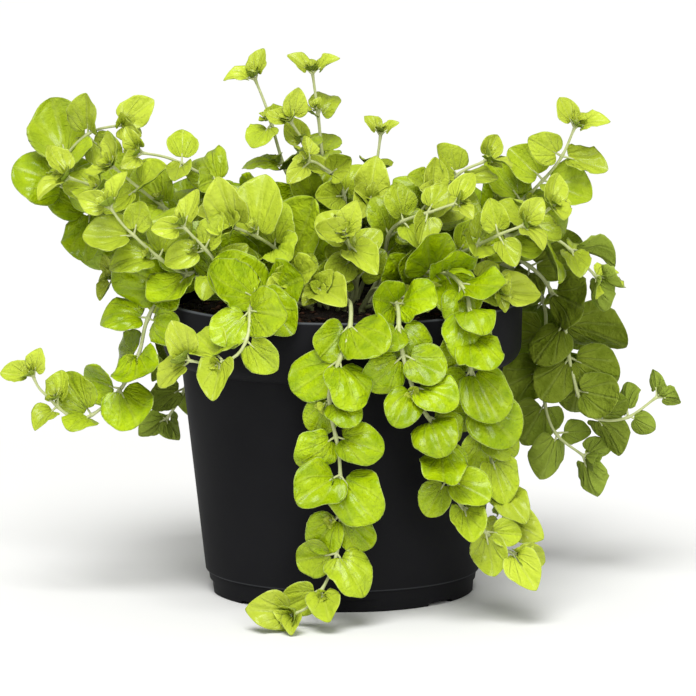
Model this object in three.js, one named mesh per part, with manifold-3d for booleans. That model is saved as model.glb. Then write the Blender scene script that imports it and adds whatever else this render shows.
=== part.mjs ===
// Potted creeping jenny: a golden Lysimachia nummularia in a black nursery pot.
// Millimetres, +Z up. The origin is the centre of the pot's flat base, and -Y is the front.
import * as THREE from "three";
import { mergeVertices } from "three/addons/utils/BufferGeometryUtils.js";
import Module from "manifold-3d";

// Pot, a thin moulded shell that widens to a collar.
const POT_HEIGHT = 107;
const RIM_RADIUS = 65;
const COLLAR_RADIUS = 64.6;
const BODY_TOP = 83.7;
const BODY_TOP_RADIUS = 58.3;
const FOOT_HEIGHT = 8;
const FOOT_RADIUS = 47.5;
const STEP_RADIUS = 49.6;
const WALL = 1.4;
const FLOOR = 2;
const POT_SIDES = 40;

// Drainage: holes through the floor, and low gaps between the feet.
const DRAIN_HOLES = 8;
const DRAIN_RING = 32;
const DRAIN_RADIUS = 4;
const FEET = 4;
const FOOT_GAP_WIDTH = 12.5;
const FOOT_GAP_HEIGHT = 1.2;
const FOOT_GAP_INNER = 38;
const FIRST_FOOT = THREE.MathUtils.degToRad(3);
const CUT_MARGIN = 9;

// A shallow recess in the outer wall at the middle of each foot.
const RECESS_WIDTH = 23;
const RECESS_HEIGHT = 4.6;
const RECESS_DEPTH = 0.8;

// The wall steps inward inside the foot, so that it stays a full wall behind the recesses.
const FOOT_INSIDE = FOOT_RADIUS - RECESS_DEPTH - WALL;
const FOOT_INSIDE_TOP = RECESS_HEIGHT + 1;
const WALL_BOTTOM = FOOT_HEIGHT + WALL;

// Potting mix, filled to a little under the rim.
const CLEARANCE = 0.35;
const MIX_TOP = 101;
const MIX_CROWN = 2.5;

// Runners: round stems with round leaves in opposite pairs.
const STEM_RADIUS = 0.95;
const STEM_SIDES = 6;
const STEM_STEP = 10;
const STEM_SAMPLE = 2;
const PETIOLE = 3;
const LEAF_HALF_THICKNESS = 0.55;
const LEAF_ROOT = 0.2;
const PETIOLE_HALF_WIDTH = 0.5;
const TIP_INSET = 1.5;
const CROWN_GATHER = 0.55;
const FIRST_LEAF = 13;
const PAIR_LEAN = 0.5;
const ROSETTE_LEAN = 1.0;
const LEAST_LEAF = 4.5;
const FULL_SIZE_AFTER = 45;
const LEAF_GAP = 1.4;
const OWN_LEAF_GAP = 0.7;
const STEM_GAP = 1.9;
const FLOOR_GAP = 0.8;
const POT_GAP = 0.9;

// A leaf turns its upper side to the light: upward, away from the pot's axis, and to the front.
const LIGHT_UP = 0.65;
const LIGHT_OUT = 0.45;
const LIGHT_FRONT = 0.6;

// How much leaves differ: about the stem, along it, about their midrib, to the light, and in size.
const WANDER = 1.3;
const SWAY = 0.9;
const ROLL = 1.3;
const RISE = 0.9;
const SIZE_SPREAD = 0.4;

// Each runner: where it goes, from the crown to its tip, its leaf width there, and how it grows.
// pitch is the distance between pairs, spin the angle of the first pair about the stem and turn
// the angle from one pair to the next, in degrees, lean how far leaves point along the stem, bare
// how much stem at the crown has no leaves, and face the way the upper sides look, where it isn't
// the usual one.
const RUNNERS = {
  front_centre_trailing: { route: [[1, -30, 110], [3, -58, 112], [2, -71, 103], [-4, -74, 87], [-4, -74, 76],
    [-1, -73, 60], [-1, -73, 34], [-4, -74, 20], [-11, -77, 9], [-18, -82, 6]], leaf: [15, 15], pitch: 14,
    spin: 20, bare: 42, lean: 0.85, face: [0, -1, 0.35] },
  front_right_bold: { route: [[21, -15, 115], [35, -42, 122], [43, -58, 118], [45, -67, 108], [45, -67, 97],
    [46, -65, 82], [50, -62, 67], [54, -58, 52], [58, -55, 35]], leaf: [16, 13], pitch: 11.5, spin: 65,
    lean: 1.2, face: [0.25, -1, 0.3] },
  front_right_slim: { route: [[12, -30, 114], [19, -58, 113], [20, -70, 105], [22, -73, 94], [27, -73, 80],
    [34, -72, 68], [38, -70, 49], [47, -69, 37], [56, -68, 28], [61, -68, 25]], leaf: [14, 11.5], pitch: 12,
    bare: 40, spin: -35, lean: 0.9, face: [0.1, -1, 0.35] },
  front_left_trailing: { route: [[-20, -25, 109], [-28, -45, 113], [-32, -62, 113], [-33, -71, 104],
    [-37, -73, 97], [-45, -73, 94], [-55, -71, 95]], leaf: [18, 12], pitch: 12, face: [-0.3, -0.9, 0.4] },
  left_trailing: { route: [[-26, -5, 110], [-51, -15, 118], [-64, -20, 111], [-70, -22, 101], [-73, -22, 89],
    [-80, -22, 76], [-94, -24, 66], [-107, -26, 76], [-111, -27, 83]], leaf: [18, 9], pitch: 14,
    face: [-0.5, -0.8, 0.4] },
  left_high_outer: { route: [[-19, 20, 113], [-52, 30, 128], [-81, 35, 131], [-96, 30, 135], [-102, 25, 149],
    [-98, 20, 158], [-90, 15, 165], [-79, 10, 168]], leaf: [21, 11], pitch: 14, face: [-0.5, -0.9, 0.4] },
  left_high_inner: { route: [[-21, 10, 113], [-51, 13, 131], [-72, 8, 140], [-87, 0, 146], [-99, -5, 151]],
    leaf: [18, 10], pitch: 12.5 },
  left_mid_high: { route: [[-21, 1, 112], [-51, 3, 130], [-66, -3, 141], [-83, -10, 156]],
    leaf: [18, 11], pitch: 12.5 },
  left_mid_low: { route: [[-20, -9, 112], [-44, -20, 116], [-59, -25, 120], [-76, -30, 135], [-83, -30, 144]],
    leaf: [17, 12], pitch: 12.5 },
  left_top_long: { route: [[-15, 5, 123], [-29, 5, 137], [-45, 0, 148], [-61, -3, 157], [-73, -6, 160]],
    leaf: [16, 10], pitch: 15, turn: 40, face: [-0.3, -0.9, 0.6] },
  left_front_light: { route: [[-29, -20, 109], [-42, -30, 119], [-47, -34, 127], [-57, -36, 138]],
    leaf: [16, 10], pitch: 11 },
  centre_left_broad: { route: [[-15, -5, 113], [-24, -20, 127], [-33, -30, 134], [-39, -35, 137]],
    leaf: [22, 17], pitch: 11 },
  centre_rosette: { route: [[5, -16, 111], [4, -30, 124], [1, -42, 136]], leaf: [19, 11], pitch: 7, turn: 90,
    lean: 0.15, face: [0, -0.8, 0.6] },
  right_centre: { route: [[14, -9, 117], [18, -24, 135], [33, -35, 143], [41, -37, 146]],
    leaf: [18, 10], pitch: 11 },
  upright_left: { route: [[-9, 11, 110], [-15, 18, 139], [-21, 20, 151], [-27, 22, 171], [-32, 22, 184]],
    leaf: [16, 8], pitch: 17, turn: 50, lean: 0.15, face: [-0.2, -0.4, 1] },
  upright_middle: { route: [[-3, 14, 111], [-6, 20, 145], [-7, 22, 152], [-9, 24, 171], [-11, 24, 186]],
    leaf: [16, 8], pitch: 15, turn: 50, lean: 0.15, face: [0, -0.4, 1] },
  upright_right: { route: [[6, 15, 114], [9, 25, 143], [12, 26, 150], [14, 27, 163]],
    leaf: [11, 6], pitch: 13, turn: 90, face: [0, -0.4, 1] },
  short_rosette_low: { route: [[2, -2, 123], [0, -1, 146], [-8, -3, 155], [-13, -6, 157]],
    leaf: [15, 8], pitch: 10, turn: 90, face: [0, -0.8, 0.7] },
  short_rosette_high: { route: [[-10, 3, 122], [-11, 5, 144], [-13, 3, 160], [-19, 0, 171]],
    leaf: [15, 9], pitch: 11, turn: 90, face: [-0.2, -0.8, 0.7] },
  right_short_high: { route: [[21, 5, 116], [28, 5, 130], [40, -2, 150], [52, -4, 157]],
    leaf: [17, 10], pitch: 11 },
  right_high_long: { route: [[25, 15, 112], [43, 15, 125], [61, 10, 137], [77, 5, 154], [84, 2, 169]],
    leaf: [19, 11], pitch: 11.5, face: [0.1, -0.9, 0.6] },
  right_mid_drooping: { route: [[28, 2, 119], [57, 0, 129], [76, 0, 128], [87, -4, 119], [92, -5, 114]],
    leaf: [20, 13], pitch: 13, face: [0.3, 0.3, 0.9] },
  right_front_small: { route: [[28, -10, 118], [46, -25, 128], [56, -32, 134], [65, -36, 138]],
    leaf: [17, 10], pitch: 10 },
  right_small_high: { route: [[21, -5, 115], [50, -5, 124], [67, -15, 135], [75, -22, 143]],
    leaf: [16, 10], pitch: 12 },
  right_hanging_outer: { route: [[28, 10, 111], [54, 15, 120], [71, 15, 113], [80, 15, 96], [83, 15, 79],
    [89, 14, 62], [102, 12, 60], [115, 10, 69]], leaf: [18, 8], pitch: 12.5, face: [0.5, 0.9, 0.2] },
  right_hanging_inner: { route: [[24, 24, 109], [50, 28, 116], [68, 28, 109], [74, 27, 97], [73, 27, 72],
    [77, 24, 54], [89, 21, 44]], leaf: [19, 13], pitch: 12.5, face: [0.4, 0.9, 0.2] },
  centre_front_small: { route: [[14, -25, 108], [21, -37, 112], [28, -48, 113]], leaf: [12, 8], pitch: 9 },
  crown_front_left: { route: [[-10, -19, 110], [-15, -32, 117], [-20, -46, 119]], leaf: [17, 15], pitch: 9,
    turn: 60, face: [-0.1, -0.8, 0.6] },
  crown_front_middle: { route: [[-3, -22, 108], [-6, -34, 114], [-8, -44, 116]], leaf: [17, 14], pitch: 8,
    turn: 60, face: [0, -0.8, 0.6] },
  right_front_rim: { route: [[30, -17, 110], [45, -26, 116], [55, -32, 114]], leaf: [16, 13], pitch: 9,
    turn: 60, face: [0.3, -0.6, 0.8] },
  crown_left: { route: [[-26, 8, 116], [-33, -1, 131], [-38, -8, 140]], leaf: [18, 15], pitch: 9, turn: 60,
    face: [-0.2, -0.8, 0.6] },
  crown_right: { route: [[18, 0, 122], [27, -6, 137], [33, -12, 145]], leaf: [18, 14], pitch: 9, turn: 60,
    face: [0.2, -0.8, 0.6] },
  crown_middle: { route: [[3, 4, 122], [6, 2, 134], [10, -6, 143]], leaf: [18, 15], pitch: 9, turn: 60,
    face: [0, -0.8, 0.6] },
  left_dark_small: { route: [[-40, 18, 107], [-66, 30, 109], [-77, 28, 106], [-84, 25, 110]],
    leaf: [12, 8], pitch: 10 },
  back_left_trailing: { route: [[-20, 30, 112], [-38, 52, 118], [-48, 66, 108], [-52, 72, 92], [-54, 74, 74],
    [-60, 76, 58], [-66, 80, 48]], leaf: [18, 10], pitch: 14, face: [-0.5, 0.9, 0.4] },
  back_centre_trailing: { route: [[4, 32, 112], [-4, 56, 116], [-8, 71, 106], [-6, 75, 88], [-4, 75, 66],
    [-8, 76, 46], [-14, 80, 32]], leaf: [18, 11], pitch: 14, spin: 20, face: [0, 1, 0.35] },
  back_right_arching: { route: [[18, 30, 114], [32, 48, 128], [42, 66, 130], [48, 80, 120], [52, 88, 106]],
    leaf: [18, 10], pitch: 13, face: [0.4, 0.7, 0.7] },
  back_mound_left: { route: [[-12, 22, 112], [-26, 38, 124], [-40, 50, 129], [-56, 58, 125]],
    leaf: [18, 11], pitch: 12, face: [-0.3, 0.4, 0.9] },
  back_mound_right: { route: [[10, 22, 114], [20, 38, 127], [25, 52, 133], [29, 65, 130]],
    leaf: [18, 11], pitch: 12, face: [0.3, 0.4, 0.9] },
  back_right_short: { route: [[26, 33, 110], [39, 44, 117], [52, 50, 122]], leaf: [19, 14], pitch: 9,
    turn: 60, face: [0.4, 0.3, 0.9] },
  back_upright: { route: [[-2, 26, 112], [0, 36, 128], [-2, 46, 141], [-8, 54, 149]],
    leaf: [14, 8], pitch: 13, turn: 90, face: [0, 0.3, 1] },
};

const wasm = await Module();
wasm.setup();

function solid(geometry) {
  const bare = geometry.index ? geometry.toNonIndexed() : geometry.clone();
  const shape = new THREE.BufferGeometry().setAttribute("position", bare.getAttribute("position"));
  const merged = mergeVertices(shape, 1e-4);
  return new wasm.Manifold(new wasm.Mesh({
    numProp: 3,
    vertProperties: merged.attributes.position.array,
    triVerts: new Uint32Array(merged.index.array),
  }));
}

function geometryOf(made) {
  const { vertProperties, triVerts } = made.getMesh();
  const geometry = new THREE.BufferGeometry();
  geometry.setAttribute("position", new THREE.BufferAttribute(vertProperties, 3));
  geometry.setIndex(new THREE.BufferAttribute(triVerts, 1));
  return geometry;
}

const vector = ([x, y, z]) => new THREE.Vector3(x, y, z);

// A turned shape about the Z axis, from [radius, height] points that start and end on it.
function turned(profile, sides) {
  const points = profile.map(([radius, height]) => new THREE.Vector2(radius, height));
  return new THREE.LatheGeometry(points, sides).rotateX(Math.PI / 2);
}

const wallInside = (z) => {
  const rise = (z - FOOT_HEIGHT) / (BODY_TOP - FOOT_HEIGHT);
  return THREE.MathUtils.lerp(STEP_RADIUS, BODY_TOP_RADIUS, rise) - WALL;
};

// The collar's underside is a quarter round from the body out to the collar's side.
function collarUnderside(inset) {
  const round = COLLAR_RADIUS - BODY_TOP_RADIUS;
  return [-90, -60, -30, 0].map((degrees) => {
    const angle = THREE.MathUtils.degToRad(degrees);
    return [
      BODY_TOP_RADIUS + (round - inset) * Math.cos(angle) - (degrees === -90 ? inset : 0),
      BODY_TOP + round + (round - inset) * Math.sin(angle),
    ];
  });
}

function nurseryPot() {
  const outside = [
    [0, 0], [FOOT_RADIUS - 0.8, 0], [FOOT_RADIUS, 0.8], [FOOT_RADIUS + 1.2, FOOT_HEIGHT - 1],
    [STEP_RADIUS, FOOT_HEIGHT], ...collarUnderside(0), [RIM_RADIUS, POT_HEIGHT - 1],
    [RIM_RADIUS - 0.4, POT_HEIGHT],
  ];
  const inside = [
    [RIM_RADIUS - WALL, POT_HEIGHT], ...collarUnderside(WALL).reverse(),
    [wallInside(WALL_BOTTOM), WALL_BOTTOM], [FOOT_INSIDE, FOOT_INSIDE_TOP], [FOOT_INSIDE, FLOOR], [0, FLOOR],
  ];
  let shell = solid(turned([...outside, ...inside], POT_SIDES));
  for (let i = 0; i < DRAIN_HOLES; i++) {
    const angle = (i / DRAIN_HOLES) * 2 * Math.PI;
    const hole = new THREE.CylinderGeometry(DRAIN_RADIUS, DRAIN_RADIUS, 4 * FLOOR, 12);
    hole.rotateX(Math.PI / 2).translate(DRAIN_RING * Math.cos(angle), DRAIN_RING * Math.sin(angle), 0);
    shell = shell.subtract(solid(hole));
  }
  const reach = FOOT_RADIUS - FOOT_GAP_INNER + WALL + CUT_MARGIN;
  for (let i = 0; i < FEET; i++) {
    const middle = FIRST_FOOT + (i / FEET) * 2 * Math.PI;
    const recess = new THREE.BoxGeometry(reach, RECESS_WIDTH, 2 * RECESS_HEIGHT);
    recess.translate(FOOT_RADIUS - RECESS_DEPTH + reach / 2, 0, 0).rotateZ(middle);
    const gap = new THREE.BoxGeometry(reach, FOOT_GAP_WIDTH, 2 * FOOT_GAP_HEIGHT);
    gap.translate(FOOT_GAP_INNER + reach / 2, 0, 0).rotateZ(middle + Math.PI / FEET);
    shell = shell.subtract(solid(recess)).subtract(solid(gap));
  }
  return geometryOf(shell);
}

// The mix fills the pot and is a little higher in the middle.
function pottingMix() {
  const bottom = FLOOR + CLEARANCE;
  const foot = FOOT_INSIDE - CLEARANCE;
  const collar = collarUnderside(WALL + CLEARANCE).map(([radius, z]) => [radius, z + CLEARANCE]);
  return turned([
    [0, bottom], [foot, bottom], [foot, FOOT_INSIDE_TOP + CLEARANCE],
    [wallInside(WALL_BOTTOM) - CLEARANCE, WALL_BOTTOM + CLEARANCE], ...collar, [collar.at(-1)[0], MIX_TOP],
    [RIM_RADIUS / 2, MIX_TOP + MIX_CROWN], [0, MIX_TOP + MIX_CROWN],
  ], POT_SIDES);
}

// A runner starts on the mix, under its first point drawn in towards the crown.
function fullRoute(route) {
  const [x, y] = route[0];
  const start = [x * CROWN_GATHER, y * CROWN_GATHER, MIX_TOP + MIX_CROWN + STEM_RADIUS + CLEARANCE];
  return [start, ...route].map(vector);
}

// Leaf is a round blade: its stalk's foot, centre, radius, and the directions of its tip and upper side.
function leafAt(foot, toTip, upper, width) {
  const tip = toTip.clone().normalize();
  const up = upper.clone().addScaledVector(tip, -upper.dot(tip)).normalize();
  const radius = width / 2;
  return { foot, tip, up, radius, centre: foot.clone().addScaledVector(tip, PETIOLE + radius) };
}

const RIM_POINTS = 10;

function rimOf(leaf) {
  const side = leaf.up.clone().cross(leaf.tip);
  return Array.from({ length: RIM_POINTS }, (_, i) => {
    const angle = (i / RIM_POINTS) * 2 * Math.PI;
    return leaf.centre.clone()
      .addScaledVector(leaf.tip, leaf.radius * Math.cos(angle))
      .addScaledVector(side, leaf.radius * Math.sin(angle));
  });
}

// How far a point is from a leaf's disc.
function discDistance(point, leaf) {
  const away = point.clone().sub(leaf.centre);
  const height = away.dot(leaf.up);
  const across = Math.sqrt(Math.max(0, away.lengthSq() - height * height));
  return Math.hypot(height, Math.max(0, across - leaf.radius));
}

// Whether one leaf's rim comes nearer to another leaf's disc than the gap, or passes through it.
function rimTouches(leaf, other, gap) {
  const rim = rimOf(leaf);
  return rim.some((point, i) => {
    if (discDistance(point, other) < gap) return true;
    const next = rim[(i + 1) % RIM_POINTS];
    const here = point.clone().sub(other.centre).dot(other.up);
    const there = next.clone().sub(other.centre).dot(other.up);
    if (here * there >= 0) return false;
    return discDistance(point.clone().lerp(next, here / (here - there)), other) < gap;
  });
}

function leavesTouch(leaf, other, gap) {
  if (leaf.centre.distanceTo(other.centre) > leaf.radius + other.radius + gap) return false;
  return rimTouches(leaf, other, gap) || rimTouches(other, leaf, gap);
}

// Whether a leaf has room beside the pot, the mix, the ground, and every stem and leaf made so far.
function hasRoom(leaf, own, { leaves, stems }) {
  const points = [...rimOf(leaf), leaf.centre];
  for (const point of points) {
    const radius = Math.hypot(point.x, point.y);
    if (point.z < FLOOR_GAP) return false;
    if (radius < RIM_RADIUS + POT_GAP && point.z < POT_HEIGHT + POT_GAP) return false;
  }
  if (leaves.some((other) => leavesTouch(leaf, other, LEAF_GAP))) return false;
  if (own.some((other) => leavesTouch(leaf, other, OWN_LEAF_GAP))) return false;
  return stems.every((point) => discDistance(point, leaf) > STEM_GAP);
}

// Ways to fit a leaf: how far it is lifted to the light, leaned to the tip, and made smaller.
const FITS = [
  { lift: 0.1, lean: 0, scale: 1 }, { lift: 0.5, lean: 0.2, scale: 1 },
  { lift: -0.35, lean: 0.1, scale: 1 }, { lift: 0.9, lean: -0.2, scale: 0.9 },
  { lift: 0.2, lean: 0.6, scale: 0.8 }, { lift: 0.6, lean: -0.4, scale: 0.7 },
  { lift: -0.6, lean: 0.3, scale: 0.7 }, { lift: 1.2, lean: 0.3, scale: 0.6 },
];

// The same small sequence of numbers between 0 and 1 for each runner.
function sequence(seed) {
  let state = seed;
  return () => {
    state = (Math.imul(state, 1664525) + 1013904223) >>> 0;
    return state / 4294967296;
  };
}

// The stem's axis is a chain of equal straight steps along its path.
function stemAxis(path) {
  return path.getSpacedPoints(Math.ceil(path.getLength() / STEM_STEP));
}

function placeOn(axis, along) {
  const step = Math.min(axis.length - 2, Math.floor(along * (axis.length - 1)));
  const foot = axis[step].clone().lerp(axis[step + 1], along * (axis.length - 1) - step);
  return { foot, heading: axis[step + 1].clone().sub(axis[step]).normalize() };
}

// Places evenly spaced pairs from the tip back to the crown, each leaf where it first has room.
function growLeaves({ runner, axis, path }, seed, around) {
  const random = sequence(seed);
  const length = path.getLength();
  const [baseWidth, tipWidth] = runner.leaf;
  const own = [];
  const pairs = Math.floor((length - (runner.bare ?? FIRST_LEAF)) / runner.pitch);
  const turnStep = THREE.MathUtils.degToRad(runner.turn ?? 0);
  const spin = THREE.MathUtils.degToRad(runner.spin ?? 0);
  for (let pair = 0; pair <= pairs; pair++) {
    const along = (length - TIP_INSET - pair * runner.pitch) / length;
    const { foot, heading } = placeOn(axis, along);
    const out = new THREE.Vector3(foot.x, foot.y, 0).normalize().multiplyScalar(LIGHT_OUT);
    const light = runner.face ? vector(runner.face) : out.add(vector([0, -LIGHT_FRONT, LIGHT_UP]));
    light.normalize();
    const about = spin + pair * turnStep + WANDER * (random() - 0.5);
    const side = heading.clone().cross(light).normalize().applyAxisAngle(heading, about);
    const lift = light.clone().addScaledVector(heading, -light.dot(heading)).normalize();
    const age = Math.min(1, (pair * runner.pitch) / FULL_SIZE_AFTER);
    const width = THREE.MathUtils.lerp(tipWidth, baseWidth, age);
    for (const hand of [-1, 1]) {
      const grown = width * (1 + SIZE_SPREAD * (random() - 0.5));
      const sway = SWAY * (random() - 0.5);
      const roll = ROLL * (random() - 0.5);
      const rise = RISE * (random() - 0.5);
      for (const fit of FITS) {
        const lean = (pair === 0 ? ROSETTE_LEAN : runner.lean ?? PAIR_LEAN) + sway + fit.lean;
        const toTip = side.clone().multiplyScalar(hand).addScaledVector(heading, lean);
        toTip.addScaledVector(lift, fit.lift + rise);
        const upper = light.clone().addScaledVector(heading, roll);
        const leaf = leafAt(foot, toTip, upper, grown * fit.scale);
        if (leaf.radius * 2 < LEAST_LEAF || !hasRoom(leaf, own, around)) continue;
        own.push(leaf);
        break;
      }
    }
  }
  return own;
}

// A leaf as a solid lens: a narrow stalk, a round blade, and a high point on each side.
function leafSolid(leaf) {
  const side = leaf.up.clone().cross(leaf.tip);
  const at = (along, across, up) => leaf.foot.clone().addScaledVector(leaf.tip, along)
    .addScaledVector(side, across).addScaledVector(leaf.up, up);
  const middle = PETIOLE + leaf.radius;
  const corner = leaf.radius * Math.SQRT1_2;
  const outline = [
    at(LEAF_ROOT, 0, 0), at(PETIOLE, PETIOLE_HALF_WIDTH, 0), at(middle - corner, corner, 0),
    at(middle + 0.4 * leaf.radius, 0.92 * leaf.radius, 0), at(middle + leaf.radius, 0, 0),
    at(middle + 0.4 * leaf.radius, -0.92 * leaf.radius, 0), at(middle - corner, -corner, 0),
    at(PETIOLE, -PETIOLE_HALF_WIDTH, 0),
  ];
  const upper = at(middle, 0, LEAF_HALF_THICKNESS);
  const lower = at(middle, 0, -LEAF_HALF_THICKNESS);
  const corners = [];
  outline.forEach((point, i) => {
    const next = outline[(i + 1) % outline.length];
    corners.push(point, upper, next, next, lower, point);
  });
  return solid(new THREE.BufferGeometry().setFromPoints(corners));
}

function stemSolid(path) {
  const section = new THREE.Shape();
  section.absarc(0, 0, STEM_RADIUS, 0, 2 * Math.PI);
  return solid(new THREE.ExtrudeGeometry(section, {
    steps: stemAxis(path).length - 1, curveSegments: STEM_SIDES / 2, extrudePath: path, bevelEnabled: false,
  }));
}

const POLYPROPYLENE = { color: "#202022", roughness: 0.5, metalness: 0 };
const PEAT = { color: "#2f241b", roughness: 1, metalness: 0 };
const FOLIAGE = { color: "#a5c53c", roughness: 0.55, metalness: 0 };

const group = new THREE.Group();

function add(name, geometry, finish) {
  const mesh = new THREE.Mesh(geometry, new THREE.MeshStandardMaterial(finish));
  mesh.name = name;
  group.add(mesh);
}

add("nursery_pot", nurseryPot(), POLYPROPYLENE);
add("potting_mix", pottingMix(), PEAT);

const runners = Object.entries(RUNNERS).map(([name, runner]) => {
  const path = new THREE.CatmullRomCurve3(fullRoute(runner.route), false, "catmullrom", 0.5);
  const axis = stemAxis(path);
  const samples = Math.ceil(path.getLength() / STEM_SAMPLE);
  const points = Array.from({ length: samples + 1 }, (_, i) => placeOn(axis, i / samples).foot);
  return { name, runner, path, axis, points, leaves: [] };
});

runners.forEach((grown, index) => {
  const others = runners.filter((one) => one !== grown);
  const around = { leaves: others.flatMap((one) => one.leaves), stems: others.flatMap((one) => one.points) };
  grown.leaves = growLeaves(grown, index + 1, around);
  let shape = stemSolid(grown.path);
  grown.leaves.forEach((leaf) => {
    shape = shape.add(leafSolid(leaf));
  });
  add(grown.name, geometryOf(shape), FOLIAGE);
});

export default group;
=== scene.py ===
"""Potted creeping jenny: golden Lysimachia nummularia spilling over a black nursery pot."""
import math
from random import Random

import bmesh
import bpy
import numpy as np
from mathutils import Matrix, Vector, noise


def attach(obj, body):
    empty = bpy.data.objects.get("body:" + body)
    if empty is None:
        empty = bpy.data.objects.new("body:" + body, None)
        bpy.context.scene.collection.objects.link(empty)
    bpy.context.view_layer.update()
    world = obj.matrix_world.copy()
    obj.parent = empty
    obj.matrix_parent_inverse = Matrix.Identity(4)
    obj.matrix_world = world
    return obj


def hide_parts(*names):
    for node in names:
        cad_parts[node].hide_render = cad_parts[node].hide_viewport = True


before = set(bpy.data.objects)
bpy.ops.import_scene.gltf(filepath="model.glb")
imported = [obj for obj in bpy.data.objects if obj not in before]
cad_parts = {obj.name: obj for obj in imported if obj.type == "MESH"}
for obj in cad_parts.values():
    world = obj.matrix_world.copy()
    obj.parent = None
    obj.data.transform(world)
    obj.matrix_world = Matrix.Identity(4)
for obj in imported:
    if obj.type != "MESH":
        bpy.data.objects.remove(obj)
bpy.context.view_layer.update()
MM = 0.001

# ---------------------------------------------------------------- sizes, in millimetres
POT_HEIGHT = 107
RIM_RADIUS = 65
COLLAR_RADIUS = 64.6
BODY_TOP = 83.7
BODY_TOP_RADIUS = 58.3
FOOT_HEIGHT = 8
FOOT_RADIUS = 47.5
STEP_RADIUS = 49.6
WALL = 1.4
FLOOR = 2
DRAIN_HOLES = 8
DRAIN_RING = 32
DRAIN_RADIUS = 4
FEET = 4
FOOT_GAP_WIDTH = 12.5
FOOT_GAP_HEIGHT = 1.2
FOOT_GAP_INNER = 38
FIRST_FOOT = math.radians(3)
RECESS_WIDTH = 23
RECESS_HEIGHT = 4.6
RECESS_DEPTH = 0.8
FOOT_INSIDE = FOOT_RADIUS - RECESS_DEPTH - WALL
FOOT_INSIDE_TOP = RECESS_HEIGHT + 1
WALL_BOTTOM = FOOT_HEIGHT + WALL
CLEARANCE = 0.35
MIX_TOP = 101
MIX_CROWN = 2.5
MIX_GAP = 0.15
MIX_FOOT_GAP = 0.4
CUTTER_REACH = 20

# Runners, in millimetres, radians or shares: their stems and leaves, the room that each leaf keeps,
# and how much leaves differ.
STEM_RADIUS = 0.95
STEM_STEP = 10
STEM_SAMPLE = 2
PETIOLE = 3
TIP_INSET = 1.5
CROWN_GATHER = 0.55
FIRST_LEAF = 13
PAIR_LEAN = 0.5
ROSETTE_LEAN = 1.0
LEAST_LEAF = 4.5
LEAF_GAP = 1.4
OWN_LEAF_GAP = 0.7
STEM_GAP = 1.9
FLOOR_GAP = 0.8
POT_GAP = 0.9
LIGHT_UP = 0.65
LIGHT_OUT = 0.45
LIGHT_FRONT = 0.6
WANDER = 1.3
SWAY = 0.9
ROLL = 1.3
RISE = 0.9
SIZE_SPREAD = 0.4
FULL_SIZE_AFTER = 45
RIM_POINTS = 10

# Ways to fit a leaf: its lift to the light, its lean to the stem's tip, and its scale.
FITS = [(0.1, 0, 1), (0.5, 0.2, 1), (-0.35, 0.1, 1), (0.9, -0.2, 0.9),
        (0.2, 0.6, 0.8), (0.6, -0.4, 0.7), (-0.6, 0.3, 0.7), (1.2, 0.3, 0.6)]

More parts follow.
